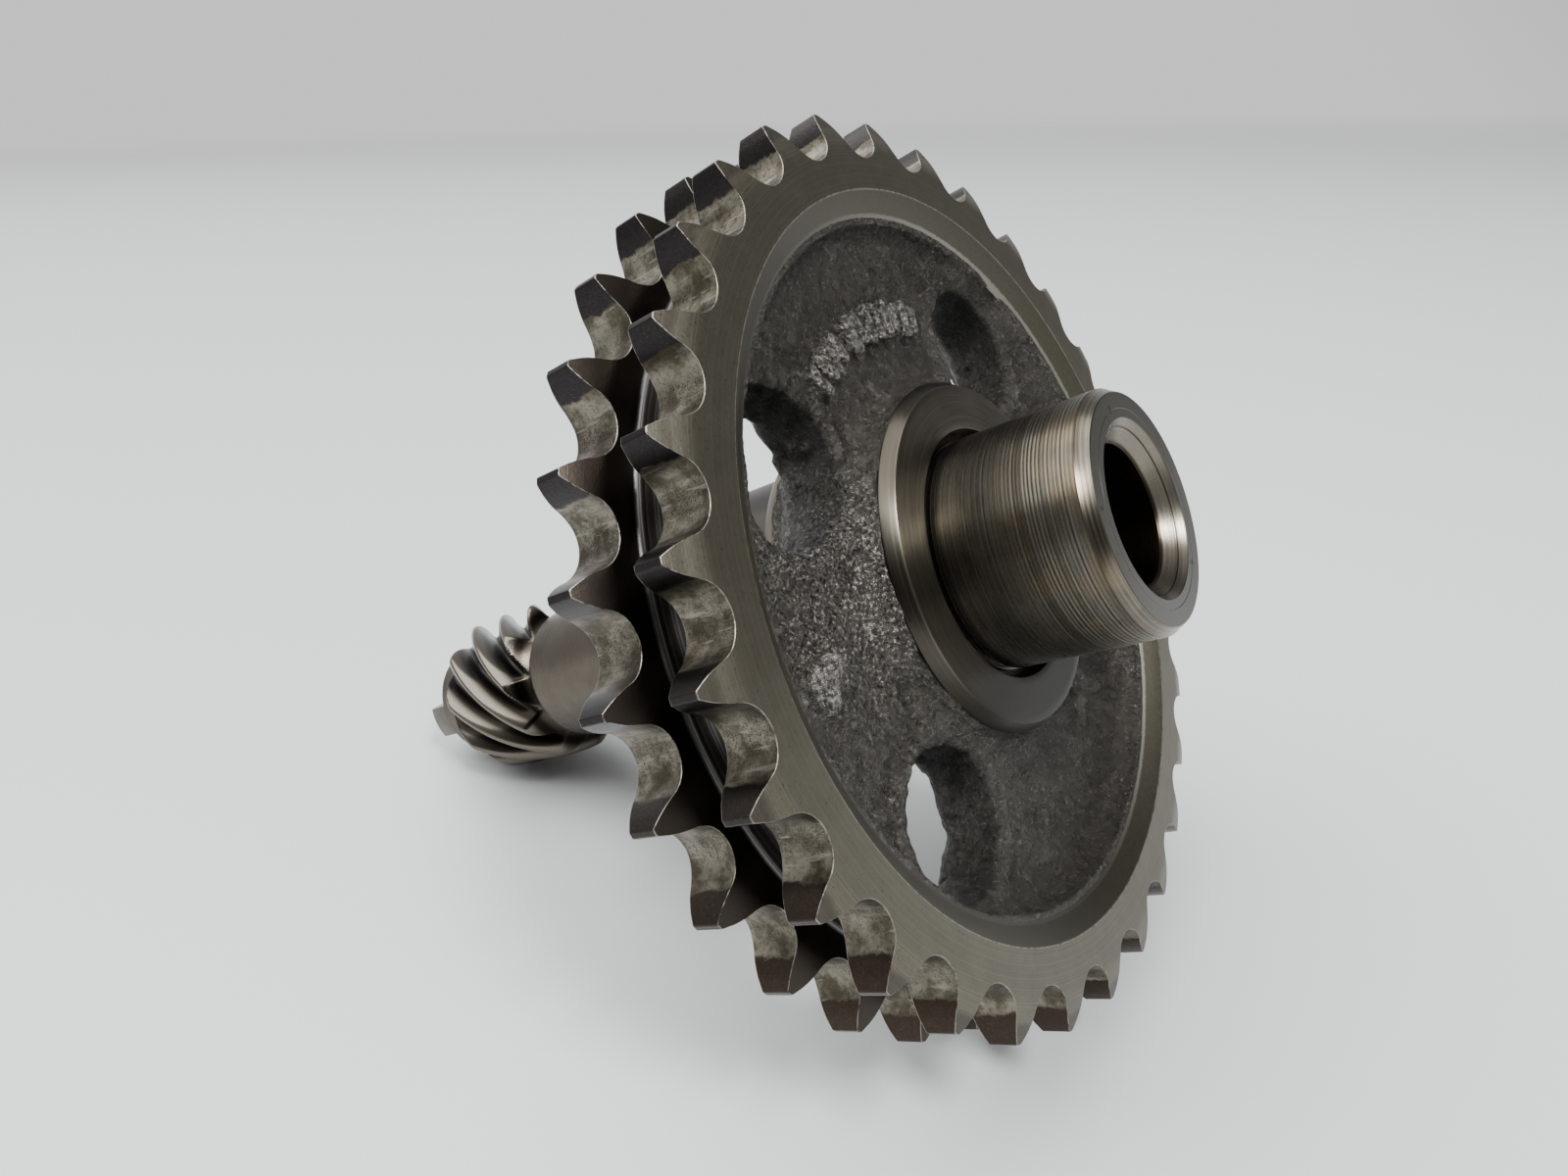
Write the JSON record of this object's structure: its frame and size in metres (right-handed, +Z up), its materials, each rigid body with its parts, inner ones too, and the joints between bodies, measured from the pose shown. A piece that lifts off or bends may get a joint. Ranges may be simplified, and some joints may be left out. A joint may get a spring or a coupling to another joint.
{
  "type": "chain-driven helical gear shaft",
  "caption": "Cast duplex roller-chain sprocket turning on a hollow bearing pin and driving a shaft with a helical gear and a tongue at its far end.",
  "frame": {"origin": "on the shaft's axis, midway between the two rows of sprocket teeth", "axes": "+Y along the shaft towards the helical gear and the tongue, -Y out of the bearing pin's nose, +Z up through the middle of the key, +X to the right when looking along +Y"},
  "size_m": [0.0942, 0.1109, 0.0944],
  "materials": {
    "cast_sprocket": "rough sand-cast web, machined rim, boss and teeth",
    "bush_bronze": "turned bronze, oiled",
    "pin_steel": "turned steel with ribs around the nose",
    "washer_steel": "ground",
    "ring_steel": "oil-blackened spring steel",
    "shaft_steel": "ground shaft, polished teeth",
    "key_steel": "bright drawn"
  },
  "bodies": {
    "bearing": {"bearing_pin": "pin_steel", "thrust_washer": "washer_steel", "retaining_ring": "ring_steel"},
    "rotor": {"duplex_sprocket": "cast_sprocket", "hub_bush": "bush_bronze", "gear_shaft": "shaft_steel", "shaft_key": "key_steel"}
  },
  "joints": [
    {"name": "rotor_spin", "type": "hinge", "parent": "bearing", "child": "rotor", "pos_m": [0, 0, 0], "axis": [0, -1, 0], "continuous": true}
  ]
}
